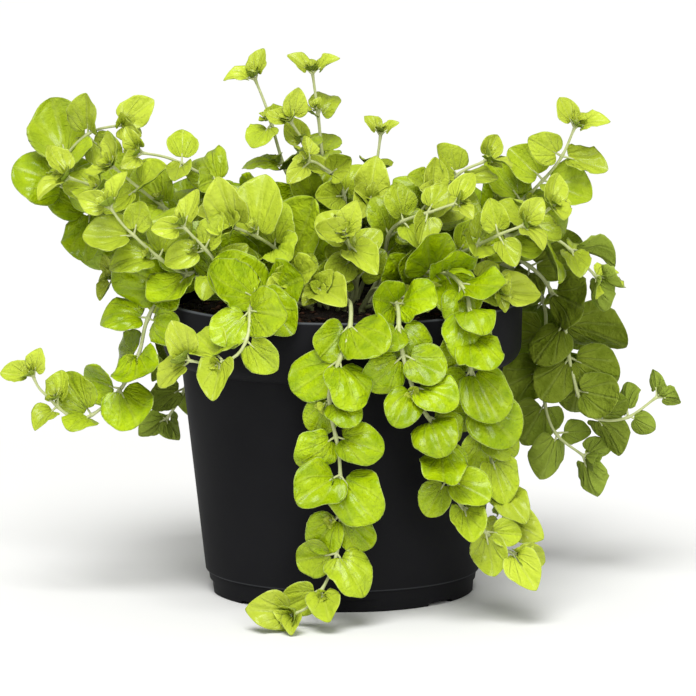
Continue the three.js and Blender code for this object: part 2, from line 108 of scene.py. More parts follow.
# The same runners as the frame's: route from the crown to the tip, leaf width at both ends,
# pitch between pairs, spin of the first pair and turn from pair to pair in degrees, length of bare
# stem at the crown, lean of the leaves along the stem, and the way the upper sides face.
RUNNERS = {
    "front_centre_trailing": dict(route=[(1, -30, 110), (3, -58, 112), (2, -71, 103), (-4, -74, 87),
        (-4, -74, 76), (-1, -73, 60), (-1, -73, 34), (-4, -74, 20), (-11, -77, 9), (-18, -82, 6)],
        leaf=(15, 15), pitch=14, spin=20, bare=42, lean=0.85, face=(0, -1, 0.35)),
    "front_right_bold": dict(route=[(21, -15, 115), (35, -42, 122), (43, -58, 118), (45, -67, 108),
        (45, -67, 97), (46, -65, 82), (50, -62, 67), (54, -58, 52), (58, -55, 35)], leaf=(16, 13),
        pitch=11.5, spin=65, lean=1.2, face=(0.25, -1, 0.3)),
    "front_right_slim": dict(route=[(12, -30, 114), (19, -58, 113), (20, -70, 105), (22, -73, 94),
        (27, -73, 80), (34, -72, 68), (38, -70, 49), (47, -69, 37), (56, -68, 28), (61, -68, 25)],
        leaf=(14, 11.5), pitch=12, bare=40, spin=-35, lean=0.9, face=(0.1, -1, 0.35)),
    "front_left_trailing": dict(route=[(-20, -25, 109), (-28, -45, 113), (-32, -62, 113), (-33, -71, 104),
        (-37, -73, 97), (-45, -73, 94), (-55, -71, 95)], leaf=(18, 12), pitch=12, face=(-0.3, -0.9, 0.4)),
    "left_trailing": dict(route=[(-26, -5, 110), (-51, -15, 118), (-64, -20, 111), (-70, -22, 101),
        (-73, -22, 89), (-80, -22, 76), (-94, -24, 66), (-107, -26, 76), (-111, -27, 83)], leaf=(18, 9),
        pitch=14, face=(-0.5, -0.8, 0.4)),
    "left_high_outer": dict(route=[(-19, 20, 113), (-52, 30, 128), (-81, 35, 131), (-96, 30, 135),
        (-102, 25, 149), (-98, 20, 158), (-90, 15, 165), (-79, 10, 168)], leaf=(21, 11), pitch=14,
        face=(-0.5, -0.9, 0.4)),
    "left_high_inner": dict(route=[(-21, 10, 113), (-51, 13, 131), (-72, 8, 140), (-87, 0, 146),
        (-99, -5, 151)], leaf=(18, 10), pitch=12.5),
    "left_mid_high": dict(route=[(-21, 1, 112), (-51, 3, 130), (-66, -3, 141), (-83, -10, 156)],
        leaf=(18, 11), pitch=12.5),
    "left_mid_low": dict(route=[(-20, -9, 112), (-44, -20, 116), (-59, -25, 120), (-76, -30, 135),
        (-83, -30, 144)], leaf=(17, 12), pitch=12.5),
    "left_top_long": dict(route=[(-15, 5, 123), (-29, 5, 137), (-45, 0, 148), (-61, -3, 157),
        (-73, -6, 160)], leaf=(16, 10), pitch=15, turn=40, face=(-0.3, -0.9, 0.6)),
    "left_front_light": dict(route=[(-29, -20, 109), (-42, -30, 119), (-47, -34, 127), (-57, -36, 138)],
        leaf=(16, 10), pitch=11),
    "centre_left_broad": dict(route=[(-15, -5, 113), (-24, -20, 127), (-33, -30, 134), (-39, -35, 137)],
        leaf=(22, 17), pitch=11),
    "centre_rosette": dict(route=[(5, -16, 111), (4, -30, 124), (1, -42, 136)], leaf=(19, 11), pitch=7,
        turn=90, lean=0.15, face=(0, -0.8, 0.6)),
    "right_centre": dict(route=[(14, -9, 117), (18, -24, 135), (33, -35, 143), (41, -37, 146)],
        leaf=(18, 10), pitch=11),
    "upright_left": dict(route=[(-9, 11, 110), (-15, 18, 139), (-21, 20, 151), (-27, 22, 171),
        (-32, 22, 184)], leaf=(16, 8), pitch=17, turn=50, lean=0.15, face=(-0.2, -0.4, 1)),
    "upright_middle": dict(route=[(-3, 14, 111), (-6, 20, 145), (-7, 22, 152), (-9, 24, 171),
        (-11, 24, 186)], leaf=(16, 8), pitch=15, turn=50, lean=0.15, face=(0, -0.4, 1)),
    "upright_right": dict(route=[(6, 15, 114), (9, 25, 143), (12, 26, 150), (14, 27, 163)], leaf=(11, 6),
        pitch=13, turn=90, face=(0, -0.4, 1)),
    "short_rosette_low": dict(route=[(2, -2, 123), (0, -1, 146), (-8, -3, 155), (-13, -6, 157)],
        leaf=(15, 8), pitch=10, turn=90, face=(0, -0.8, 0.7)),
    "short_rosette_high": dict(route=[(-10, 3, 122), (-11, 5, 144), (-13, 3, 160), (-19, 0, 171)],
        leaf=(15, 9), pitch=11, turn=90, face=(-0.2, -0.8, 0.7)),
    "right_short_high": dict(route=[(21, 5, 116), (28, 5, 130), (40, -2, 150), (52, -4, 157)],
        leaf=(17, 10), pitch=11),
    "right_high_long": dict(route=[(25, 15, 112), (43, 15, 125), (61, 10, 137), (77, 5, 154),
        (84, 2, 169)], leaf=(19, 11), pitch=11.5, face=(0.1, -0.9, 0.6)),
    "right_mid_drooping": dict(route=[(28, 2, 119), (57, 0, 129), (76, 0, 128), (87, -4, 119),
        (92, -5, 114)], leaf=(20, 13), pitch=13, face=(0.3, 0.3, 0.9)),
    "right_front_small": dict(route=[(28, -10, 118), (46, -25, 128), (56, -32, 134), (65, -36, 138)],
        leaf=(17, 10), pitch=10),
    "right_small_high": dict(route=[(21, -5, 115), (50, -5, 124), (67, -15, 135), (75, -22, 143)],
        leaf=(16, 10), pitch=12),
    "right_hanging_outer": dict(route=[(28, 10, 111), (54, 15, 120), (71, 15, 113), (80, 15, 96),
        (83, 15, 79), (89, 14, 62), (102, 12, 60), (115, 10, 69)], leaf=(18, 8), pitch=12.5,
        face=(0.5, 0.9, 0.2)),
    "right_hanging_inner": dict(route=[(24, 24, 109), (50, 28, 116), (68, 28, 109), (74, 27, 97),
        (73, 27, 72), (77, 24, 54), (89, 21, 44)], leaf=(19, 13), pitch=12.5, face=(0.4, 0.9, 0.2)),
    "centre_front_small": dict(route=[(14, -25, 108), (21, -37, 112), (28, -48, 113)], leaf=(12, 8),
        pitch=9),
    "crown_front_left": dict(route=[(-10, -19, 110), (-15, -32, 117), (-20, -46, 119)], leaf=(17, 15),
        pitch=9, turn=60, face=(-0.1, -0.8, 0.6)),
    "crown_front_middle": dict(route=[(-3, -22, 108), (-6, -34, 114), (-8, -44, 116)], leaf=(17, 14),
        pitch=8, turn=60, face=(0, -0.8, 0.6)),
    "right_front_rim": dict(route=[(30, -17, 110), (45, -26, 116), (55, -32, 114)], leaf=(16, 13),
        pitch=9, turn=60, face=(0.3, -0.6, 0.8)),
    "crown_left": dict(route=[(-26, 8, 116), (-33, -1, 131), (-38, -8, 140)], leaf=(18, 15), pitch=9,
        turn=60, face=(-0.2, -0.8, 0.6)),
    "crown_right": dict(route=[(18, 0, 122), (27, -6, 137), (33, -12, 145)], leaf=(18, 14), pitch=9,
        turn=60, face=(0.2, -0.8, 0.6)),
    "crown_middle": dict(route=[(3, 4, 122), (6, 2, 134), (10, -6, 143)], leaf=(18, 15), pitch=9, turn=60,
        face=(0, -0.8, 0.6)),
    "left_dark_small": dict(route=[(-40, 18, 107), (-66, 30, 109), (-77, 28, 106), (-84, 25, 110)],
        leaf=(12, 8), pitch=10),
    "back_left_trailing": dict(route=[(-20, 30, 112), (-38, 52, 118), (-48, 66, 108), (-52, 72, 92),
        (-54, 74, 74), (-60, 76, 58), (-66, 80, 48)], leaf=(18, 10), pitch=14, face=(-0.5, 0.9, 0.4)),
    "back_centre_trailing": dict(route=[(4, 32, 112), (-4, 56, 116), (-8, 71, 106), (-6, 75, 88),
        (-4, 75, 66), (-8, 76, 46), (-14, 80, 32)], leaf=(18, 11), pitch=14, spin=20, face=(0, 1, 0.35)),
    "back_right_arching": dict(route=[(18, 30, 114), (32, 48, 128), (42, 66, 130), (48, 80, 120),
        (52, 88, 106)], leaf=(18, 10), pitch=13, face=(0.4, 0.7, 0.7)),
    "back_mound_left": dict(route=[(-12, 22, 112), (-26, 38, 124), (-40, 50, 129), (-56, 58, 125)],
        leaf=(18, 11), pitch=12, face=(-0.3, 0.4, 0.9)),
    "back_mound_right": dict(route=[(10, 22, 114), (20, 38, 127), (25, 52, 133), (29, 65, 130)],
        leaf=(18, 11), pitch=12, face=(0.3, 0.4, 0.9)),
    "back_right_short": dict(route=[(26, 33, 110), (39, 44, 117), (52, 50, 122)], leaf=(19, 14), pitch=9,
        turn=60, face=(0.4, 0.3, 0.9)),
    "back_upright": dict(route=[(-2, 26, 112), (0, 36, 128), (-2, 46, 141), (-8, 54, 149)], leaf=(14, 8),
        pitch=13, turn=90, face=(0, 0.3, 1)),
}


# ---------------------------------------------------------------- how the runners grow
def unit(v):
    v = np.asarray(v, float)
    return v / np.linalg.norm(v)


def turned_about(v, axis, angle):
    """v, at right angles to axis, turned about it."""
    return v * math.cos(angle) + np.cross(axis, v) * math.sin(angle)


PATH_SAMPLES = 201


class Path:
    """A Catmull-Rom curve through a route, measured along its length."""

    def __init__(self, points):
        self.points = np.array(points, float)
        self.times = np.linspace(0, 1, PATH_SAMPLES)
        steps = np.diff(self.at_time(self.times), axis=0)
        self.arcs = np.concatenate([[0], np.cumsum(np.linalg.norm(steps, axis=1))])
        self.length = self.arcs[-1]

    def at_time(self, times):
        p = self.points
        padded = np.vstack([2 * p[0] - p[1], p, 2 * p[-1] - p[-2]])
        place = np.asarray(times) * (len(p) - 1)
        index = np.minimum(place.astype(int), len(p) - 2)
        w = (place - index)[:, None]
        p0, p1, p2, p3 = (padded[index + k] for k in range(4))
        t0, t1 = 0.5 * (p2 - p0), 0.5 * (p3 - p1)
        return p1 + w * t0 + w**2 * (3 * (p2 - p1) - 2 * t0 - t1) + w**3 * (2 * (p1 - p2) + t0 + t1)

    def spaced(self, count):
        return self.at_time(np.interp(np.linspace(0, self.length, count + 1), self.arcs, self.times))


def place_on(axis, along):
    """The point and the heading a share of the way along a chain of equal steps."""
    step = min(len(axis) - 2, int(along * (len(axis) - 1)))
    share = along * (len(axis) - 1) - step
    return axis[step] + (axis[step + 1] - axis[step]) * share, unit(axis[step + 1] - axis[step])


class Leaf:
    """A round blade on a stalk: its foot on the stem, and the directions of its tip and upper side."""

    def __init__(self, foot, to_tip, upper, width):
        self.foot = foot
        self.tip = unit(to_tip)
        self.up = unit(upper - self.tip * np.dot(upper, self.tip))
        self.side = np.cross(self.up, self.tip)
        self.radius = width / 2
        self.centre = foot + self.tip * (PETIOLE + self.radius)
        angles = np.arange(RIM_POINTS) / RIM_POINTS * 2 * math.pi
        self.rim = self.centre + self.radius * (np.outer(np.cos(angles), self.tip)
                                                + np.outer(np.sin(angles), self.side))


def disc_parts(points, centre, up, radius):
    """Height above, and distance from, a leaf's disc."""
    away = points - centre
    height = (away * up).sum(-1)
    across = np.sqrt(np.maximum(0, (away**2).sum(-1) - height**2))
    return height, np.hypot(height, np.maximum(0, across - radius))


def rims_touch(rims, centres, ups, radii, gap):
    """Whether any rim comes nearer to its disc than the gap, or passes through it."""
    centres, ups, radii = centres[:, None, :], ups[:, None, :], radii[:, None]
    height, distance = disc_parts(rims, centres, ups, radii)
    if (distance < gap).any():
        return True
    after = np.roll(height, -1, axis=1)
    crosses = height * after < 0
    share = np.where(crosses, height / np.where(crosses, height - after, 1), 0)
    meeting = rims + (np.roll(rims, -1, axis=1) - rims) * share[..., None]
    return bool((crosses & (disc_parts(meeting, centres, ups, radii)[1] < gap)).any())


def touches_any(leaf, others, gap):
    """Whether a leaf comes nearer than the gap to any of the others."""
    near = [o for o in others if np.linalg.norm(leaf.centre - o.centre) <= leaf.radius + o.radius + gap]
    if not near:
        return False
    count = len(near)
    rims = np.array([o.rim for o in near])
    centres = np.array([o.centre for o in near])
    ups = np.array([o.up for o in near])
    radii = np.array([o.radius for o in near])
    return (rims_touch(rims, np.tile(leaf.centre, (count, 1)), np.tile(leaf.up, (count, 1)),
                       np.full(count, leaf.radius), gap)
            or rims_touch(np.tile(leaf.rim, (count, 1, 1)), centres, ups, radii, gap))


def has_room(leaf, own, others, stems):
    """Whether a leaf is clear of the ground, the pot, and every leaf and stem made so far."""
    points = np.vstack([leaf.rim, leaf.centre])
    if points[:, 2].min() < FLOOR_GAP:
        return False
    over_pot = np.hypot(points[:, 0], points[:, 1]) < RIM_RADIUS + POT_GAP
    if (over_pot & (points[:, 2] < POT_HEIGHT + POT_GAP)).any():
        return False
    if touches_any(leaf, others, LEAF_GAP) or touches_any(leaf, own, OWN_LEAF_GAP):
        return False
    return disc_parts(stems, leaf.centre, leaf.up, leaf.radius)[1].min() > STEM_GAP


def sequence(seed):
    """Numbers between 0 and 1, the same ones for the same seed."""
    state = seed
    while True:
        state = (state * 1664525 + 1013904223) & 0xFFFFFFFF
        yield state / 4294967296


class Runner:
    """One grown piece: a stem along its path, its pairs of leaves, and the nodes they grow from."""

    def __init__(
        self, name, route, leaf, pitch, turn=0, spin=0, bare=FIRST_LEAF, lean=PAIR_LEAN, face=None
    ):
        x, y = route[0][:2]
        start = (x * CROWN_GATHER, y * CROWN_GATHER, MIX_TOP + MIX_CROWN + STEM_RADIUS + CLEARANCE)
        self.name = name
        self.path = Path([start, *route])
        self.axis = self.path.spaced(math.ceil(self.path.length / STEM_STEP))
        samples = math.ceil(self.path.length / STEM_SAMPLE)
        self.samples = np.array([place_on(self.axis, i / samples)[0] for i in range(samples + 1)])
        self.base_width, self.tip_width = leaf
        self.pitch = pitch
        self.turn, self.spin = math.radians(turn), math.radians(spin)
        self.bare, self.lean, self.face = bare, lean, face
        self.leaves = []
        self.nodes = []

    def light(self, foot):
        if self.face:
            return unit(self.face)
        return unit(unit([foot[0], foot[1], 0]) * LIGHT_OUT + [0, -LIGHT_FRONT, LIGHT_UP])

    def grow(self, seed, others, stems):
        """Places pairs from the tip back to the crown, each leaf where it first has room."""
        random = sequence(seed)
        length = self.path.length
        for pair in range(math.floor((length - self.bare) / self.pitch) + 1):
            back = pair * self.pitch
            along = (length - TIP_INSET - back) / length
            foot, heading = place_on(self.axis, along)
            light = self.light(foot)
            about = self.spin + pair * self.turn + WANDER * (next(random) - 0.5)
            side = turned_about(unit(np.cross(heading, light)), heading, about)
            lift = unit(light - heading * np.dot(light, heading))
            grown = min(1, back / FULL_SIZE_AFTER)
            width = self.tip_width + (self.base_width - self.tip_width) * grown
            self.nodes.append((along, foot, heading, side, light))
            for hand in (-1, 1):
                full = width * (1 + SIZE_SPREAD * (next(random) - 0.5))
                sway = SWAY * (next(random) - 0.5)
                roll = ROLL * (next(random) - 0.5)
                rise = RISE * (next(random) - 0.5)
                for lift_by, lean_by, scale in FITS:
                    lean = (self.lean if pair else ROSETTE_LEAN) + sway + lean_by
                    to_tip = side * hand + heading * lean + lift * (lift_by + rise)
                    leaf = Leaf(foot, to_tip, light + heading * roll, full * scale)
                    if leaf.radius * 2 >= LEAST_LEAF and has_room(leaf, self.leaves, others, stems):
                        leaf.youth = 1 - grown
                        self.leaves.append(leaf)
                        break


# ---------------------------------------------------------------- meshes
class Build:
    """Collects vertices, faces and per-vertex leaf data for one object, in millimetres."""

    def __init__(self):
        self.points, self.faces, self.slots = [], [], []
        self.grid, self.growth = [], []
        self.count = 0

    def add(self, points, faces, slot, grid=None, growth=(0, 0, 0)):
        points = np.asarray(points, float).reshape(-1, 3)
        self.points.append(points)
        self.faces += [tuple(self.count + i for i in face) for face in faces]
        self.slots += [slot] * len(faces) if isinstance(slot, int) else slot
        self.grid.append(np.zeros((len(points), 3)) if grid is None else grid)
        self.growth.append(np.tile(growth, (len(points), 1)))
        self.count += len(points)

    def to_object(self, name, materials):
        mesh = bpy.data.meshes.new(name)
        mesh.from_pydata((np.vstack(self.points) * MM).tolist(), [], self.faces)
        for material in materials:
            mesh.materials.append(material)
        mesh.polygons.foreach_set("material_index", self.slots)
        for label, values in (("leaf_grid", self.grid), ("leaf_growth", self.growth)):
            attribute = mesh.attributes.new(label, "FLOAT_VECTOR", "POINT")
            attribute.data.foreach_set("vector", np.vstack(values).ravel())
        mesh.shade_smooth()
        piece = bpy.data.objects.new(name, mesh)
        bpy.context.scene.collection.objects.link(piece)
        return piece


def ring_faces(bands, sides):
    """The faces of the bands between rings that have the same number of points."""
    return [(r * sides + s, r * sides + (s + 1) % sides,
             (r + 1) * sides + (s + 1) % sides, (r + 1) * sides + s)
            for r in range(bands) for s in range(sides)]


def tube(build, centres, radii, sides, slot, growth=(0, 0, 0), square=0.0):
    """A closed round tube through the centres, a little four-sided where square is given."""
    centres = np.asarray(centres, float)
    headings = np.gradient(centres, axis=0)
    headings /= np.linalg.norm(headings, axis=1)[:, None]
    steep = abs(headings[0][2]) >= 0.9
    normal = unit(np.cross(headings[0], [1, 0.2, 0] if steep else [0.31, 0.22, 0.93]))
    angles = np.arange(sides) / sides * 2 * math.pi
    rings = []
    for centre, heading, radius in zip(centres, headings, radii):
        normal = unit(normal - heading * np.dot(normal, heading))
        other = np.cross(heading, normal)
        reach = radius * (1 + square * np.cos(4 * angles))
        across = np.outer(reach * np.cos(angles), normal) + np.outer(reach * np.sin(angles), other)
        rings.append(centre + across)
    rows = len(rings)
    faces = ring_faces(rows - 1, sides)
    faces.append(tuple(reversed(range(sides))))
    faces.append(tuple((rows - 1) * sides + s for s in range(sides)))
    build.add(np.vstack(rings), faces, slot, growth=growth)


# Leaf blade: rows from base to tip and columns from edge to edge, its thickness in the middle and at
# the edge, and how close its side veins stand. It bends up where it would go under the ground.
ROWS = 17
COLUMNS = 16
BLADE_THICKNESS = 0.34
EDGE_THICKNESS = 0.12
FULL_THICKNESS_RADIUS = 6
VEINS = 2.6
FAN_CENTRE = 0.34
GROUND_BEND = 1.2
UPPER, UNDER, STEM = 0, 1, 2


def sheet_faces(rows, columns):
    """Faces of a closed sheet: its top, its underside, and the rim between them."""
    across = columns + 1
    top = [(r * across + c, r * across + c + 1, (r + 1) * across + c + 1, (r + 1) * across + c)
           for r in range(rows) for c in range(columns)]
    shift = (rows + 1) * across
    under = [(c + shift, b + shift, a + shift, d + shift) for a, b, c, d in top]
    loop = ([c for c in range(columns)] + [r * across + columns for r in range(rows)]
            + [rows * across + c for c in range(columns, 0, -1)] + [r * across for r in range(rows, 0, -1)])
    rim = [(b, a, a + shift, b + shift) for a, b in zip(loop, loop[1:] + loop[:1])]
    return top, under, rim


TOP_FACES, UNDER_FACES, RIM_FACES = sheet_faces(ROWS, COLUMNS)
ALONG = (1 - np.cos(np.linspace(0, math.pi, ROWS + 1))) / 2
U, V = np.meshgrid(ALONG, np.linspace(-1, 1, COLUMNS + 1), indexing="ij")


def blade(radius, form, youth):
    """A nearly round, heart-based blade, its base at the origin and its tip along +X."""
    widest = 0.42 - 0.06 * youth
    share = np.where(U < widest, (widest - U) / widest, (U - widest) / (1 - widest))
    base_half = np.sqrt(np.maximum(0, 1 - share**2))
    tip_half = np.maximum(0, 1 - share ** (2.1 - 0.4 * youth)) ** (0.53 + 0.2 * youth)
    half = np.where(U < widest, base_half, tip_half)
    half = np.maximum(half, 0.03 + 0.05 * (1 - U))
    half *= 1 + form["notch"] * np.sin(9 * U + form["phase"] + 2 * V)
    y = V * half * radius * form["breadth"]
    x = 2 * radius * U - form["lobe"] * np.abs(y) * np.exp(-4.5 * U)
    out = np.hypot(x - radius, y) / radius
    theta = np.arctan2(y, x - radius)
    # Veins spread from the base like the ribs of a fan; lane counts them from the midrib.
    lane = VEINS * np.arctan2(np.abs(y), x + FAN_CENTRE * radius)
    lane = lane + 0.22 * np.sin(5 * U + form["phase"]) * np.abs(V)
    # The fold, the cup, the curl of the tip, the wavy edge, the quilting between veins, and a twist.
    z = form["fold"] * (np.sqrt(y**2 + (0.1 * radius) ** 2) - 0.1 * radius)
    z += form["cup"] * radius * out**2 - form["curl"] * radius * U**3
    z += form["wave"] * radius * np.minimum(out, 1.1) ** 3 * np.sin(form["waves"] * theta + form["phase"])
    ridge = 0.5 - 0.5 * np.cos(2 * math.pi * lane)
    z += form["quilt"] * radius * ridge * np.sin(math.pi * np.minimum(1, U + 0.06)) ** 0.8
    z += 0.5 * form["quilt"] * radius * np.sin(14 * U + 6 * V + form["phase"]) * np.abs(V) * ridge
    z += form["twist"] * y * (U - 0.5)
    z -= z[0, COLUMNS // 2]
    edge = np.maximum(np.abs(V), np.abs(2 * U - 1)) ** 6
    thickness = BLADE_THICKNESS + (EDGE_THICKNESS - BLADE_THICKNESS) * edge
    thickness = thickness * min(1, radius / FULL_THICKNESS_RADIUS)
    return np.stack([x, y, z], -1), np.stack([x, y, z - thickness], -1), lane


def leaf_form(random, youth):
    """One leaf's own shape: young ones are cupped and folded, old ones flatter and wavier."""
    a = [random.random() for _ in range(9)]
    return {
        "breadth": 1 + 0.16 * a[0] - 0.14 * youth,
        "notch": 0.02 + 0.04 * a[5],
        "lobe": 0.55 + 0.4 * a[1],
        "fold": -0.1 + 0.45 * a[2] + 0.35 * youth,
        "cup": -0.34 + 0.56 * a[3] + 0.16 * youth,
        "curl": 0.75 * (a[4] - 0.2),
        "wave": 0.05 + 0.09 * a[5],
        "waves": 2 + 2.5 * a[6],
        "phase": 6.3 * a[7],
        "quilt": 0.09 + 0.06 * a[8],
        "twist": 0.5 * (a[2] - a[6]),
    }


def rest_on_ground(points):
    """Bends up what would go under the surface that the pot stands on."""
    height = points[:, 2]
    bent = GROUND_BEND * np.exp(np.minimum(0, height - GROUND_BEND) / GROUND_BEND)
    points[:, 2] = np.where(height < GROUND_BEND, bent, height)
    return points


STALK_RADIUS = 0.5
STALK_POINTS = 6


def add_leaf(build, leaf, random, petiole=PETIOLE, stalk=STALK_RADIUS):
    """A blade at its place, and the stalk that carries it."""
    form = leaf_form(random, leaf.youth)
    tone = random.random() * 2 - 1
    top, under, lane = blade(leaf.radius, form, leaf.youth)
    frame_axes = np.array([leaf.tip, leaf.side, leaf.up])
    base = leaf.foot + leaf.tip * petiole
    points = np.vstack([top.reshape(-1, 3), under.reshape(-1, 3)]) @ frame_axes + base
    grid = np.stack([lane.ravel(), V.ravel(), U.ravel()], -1)
    growth = (tone, leaf.youth, leaf.shade)
    slots = [UPPER] * len(TOP_FACES) + [UNDER] * (len(UNDER_FACES) + len(RIM_FACES))
    points = rest_on_ground(points)
    build.add(points, TOP_FACES + UNDER_FACES + RIM_FACES, slots, np.vstack([grid, grid]), growth)
    share = np.linspace(0, 1, STALK_POINTS)[:, None]
    sag = leaf.up * (0.35 * petiole) * (share * (1 - share)) * (form["curl"] * 4)
    centres = leaf.foot + leaf.tip * (petiole + 0.25 * leaf.radius) * share + sag - leaf.up * 0.2 * share
    tube(build, centres, np.linspace(stalk, stalk * 0.55, STALK_POINTS), 6, STEM, growth)


# The cluster at a growing tip: each pair's scale, how far it rises with the stem, and its turn.
BUD_PAIRS = [(0.62, 0.6, 90), (0.36, 1.3, 0)]
BUD_STALK_RADIUS = 0.35
# The share of nodes with a small side shoot, its leaf width, its length and its radii.
AXIL_SHOOTS = 0.3
SHOOT_WIDTH = 6.5
SHOOT_LENGTH = 1.8
SHOOT_RADII = [0.42, 0.38, 0.32]


def add_bud(build, foot, heading, side, light, width, random):
    """Smaller and smaller crossed pairs, folding over each other."""
    for step, (scale, rise, degrees) in enumerate(BUD_PAIRS):
        across = turned_about(side, heading, math.radians(degrees))
        start = foot + heading * (0.8 + 1.1 * step)
        for hand in (-1, 1):
            to_tip = across * hand + heading * rise + light * 0.25
            leaf = Leaf(start, to_tip, light + heading * 0.4 - across * hand * 0.5, width * scale)
            leaf.youth, leaf.shade = 1, 0
            add_leaf(build, leaf, random, petiole=0.8 + 0.5 * scale, stalk=BUD_STALK_RADIUS)


# A stem: the distance between its rings, how deep it goes into the mix, and its nodes' swelling.
RING_STEP = 1.6
SUNK = STEM_RADIUS + 2.5
SWELLING = 0.2
SWELLING_LENGTH = 1.3
STEM_SIDES = 10


def add_stem(build, runner):
    """A pale, faintly four-angled stem that thins towards its tip and swells at each pair."""
    count = math.ceil(runner.path.length / RING_STEP)
    centres = runner.path.spaced(count)
    sunk = centres[0] - [0, 0, SUNK]
    along = np.concatenate([[0], np.linspace(0, 1, count + 1)])
    radii = STEM_RADIUS * (0.88 - 0.4 * along**1.3)
    for node in runner.nodes:
        away = (along - node[0]) * runner.path.length / SWELLING_LENGTH
        radii += SWELLING * np.exp(-(away**2))
    radii[-1] *= 0.5
    tube(build, np.vstack([sunk, centres]), radii, STEM_SIDES, STEM, square=0.05)


MOUND_RADIUS = 70
MOUND_HEIGHT = 42


def shade_of(leaf):
    """How deep in the mound a leaf sits, from 0 in the open to 1 in the middle; deep leaves are painted
    darker, partly their real greener colour in shade, partly painted shade.
    """
    inside = 1 - min(1, math.hypot(leaf.centre[0], leaf.centre[1] * 1.15) / MOUND_RADIUS)
    low = 1 - min(1, max(0, (leaf.centre[2] - POT_HEIGHT) / MOUND_HEIGHT))
    return inside * low


def runner_piece(runner, seed, materials):
    """A runner's stem, leaves, growing tip and small side shoots, as one piece."""
    random = Random(seed)
    build = Build()
    add_stem(build, runner)
    for leaf in runner.leaves:
        leaf.shade = shade_of(leaf)
        add_leaf(build, leaf, random)
    _, foot, heading, side, light = runner.nodes[0]
    add_bud(build, foot, heading, side, light, runner.tip_width, random)
    for _, foot, heading, side, light in runner.nodes[1:]:
        if random.random() > AXIL_SHOOTS:
            continue
        out = unit(side * random.choice((-1, 1)) + heading * 0.9 + light * 0.7)
        shoot = foot + out * SHOOT_LENGTH
        tube(build, [foot, foot + out * SHOOT_LENGTH / 2, shoot], SHOOT_RADII, 6, STEM)
        across = unit(np.cross(out, light + heading * 0.3))
        add_bud(build, shoot, out, across, light, SHOOT_WIDTH, random)
    piece = build.to_object(runner.name + "_grown", materials)
    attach(piece, "root")
    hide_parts(runner.name)


# ---------------------------------------------------------------- pot and potting mix
def ring_points(radius, height, sides):
    """Points round a level circle about the pot's axis."""
    angles = [2 * math.pi * s / sides for s in range(sides)]
    return [(radius * math.cos(angle), radius * math.sin(angle), height) for angle in angles]


def turned_object(name, profile, sides, material):
    """A turned shape from (radius, height) points that start and end on the axis."""
    rings = profile[1:-1]
    points = [(0, 0, profile[0][1]), (0, 0, profile[-1][1])]
    for radius, height in rings:
        points += ring_points(radius, height, sides)
    last = len(rings) - 1
    faces = [tuple(2 + i for i in face) for face in ring_faces(last, sides)]
    faces += [(0, 2 + (s + 1) % sides, 2 + s) for s in range(sides)]
    faces += [(1, 2 + last * sides + s, 2 + last * sides + (s + 1) % sides) for s in range(sides)]
    build = Build()
    build.add(points, faces, 0)
    return build.to_object(name, [material])


def rounded(corner, before, after, radius, steps=4):
    """Points that round one corner of a profile."""
    corner = np.array(corner, float)
    ways = [unit(np.array(p, float) - corner) for p in (before, after)]
    half = math.acos(np.clip(np.dot(*ways), -1, 1)) / 2
    reach = radius / math.tan(half)
    middle = corner + unit(ways[0] + ways[1]) * radius / math.sin(half)
    first, last = (corner + w * reach - middle for w in ways)
    turn = math.atan2(first[0] * last[1] - first[1] * last[0], np.dot(first, last))
    spin = [turn * k / steps for k in range(steps + 1)]
    return [(middle[0] + first[0] * math.cos(a) - first[1] * math.sin(a),
             middle[1] + first[0] * math.sin(a) + first[1] * math.cos(a)) for a in spin]


def rounded_profile(points):
    """A profile from (radius, height, corner rounding) points."""
    out = []
    for i, (radius, height, rounding) in enumerate(points):
        if rounding and 0 < i < len(points) - 1:
            out += rounded((radius, height), points[i - 1][:2], points[i + 1][:2], rounding)
        else:
            out.append((radius, height))
    return out


def underside(inset, sag=0):
    """The quarter round under the collar, from the body out to the collar's side."""
    sweep = COLLAR_RADIUS - BODY_TOP_RADIUS
    out = []
    for degrees in range(-90, 1, 10):
        angle = math.radians(degrees)
        out.append((BODY_TOP_RADIUS + (sweep - inset) * math.cos(angle) - (inset if degrees == -90 else 0),
                    BODY_TOP + sweep + (sweep - inset) * math.sin(angle) + sag))
    return out


def inside_radius(z):
    """The radius of the body's inner wall at a height."""
    rise = (z - FOOT_HEIGHT) / (BODY_TOP - FOOT_HEIGHT)
    return STEP_RADIUS + (BODY_TOP_RADIUS - STEP_RADIUS) * rise - WALL


def box_at(name, size, centre, angle):
    """A box with its centre at a place that is then turned about the pot's axis."""
    bpy.ops.mesh.primitive_cube_add(size=1)
    made = bpy.context.object
    made.name = name
    made.matrix_world = (Matrix.Rotation(angle, 4, "Z") @ Matrix.Translation(Vector(centre) * MM)
                         @ Matrix.Diagonal((*(Vector(size) * MM), 1)))
    return made


def cut(target, cutters):
    """Cuts the shapes out of the target, and removes them."""
    for cutter in cutters:
        boolean = target.modifiers.new("cut", "BOOLEAN")
        boolean.operation, boolean.solver, boolean.object = "DIFFERENCE", "EXACT", cutter
    graph = bpy.context.evaluated_depsgraph_get()
    mesh = bpy.data.meshes.new_from_object(target.evaluated_get(graph))
    target.modifiers.clear()
    target.data = mesh
    for cutter in cutters:
        bpy.data.objects.remove(cutter)


# The pot's facets, and the rounding of its edges.
POT_SIDES = 192
HOLE_SIDES = 40
LIP_ROUND = 0.45
SHARP = math.radians(35)


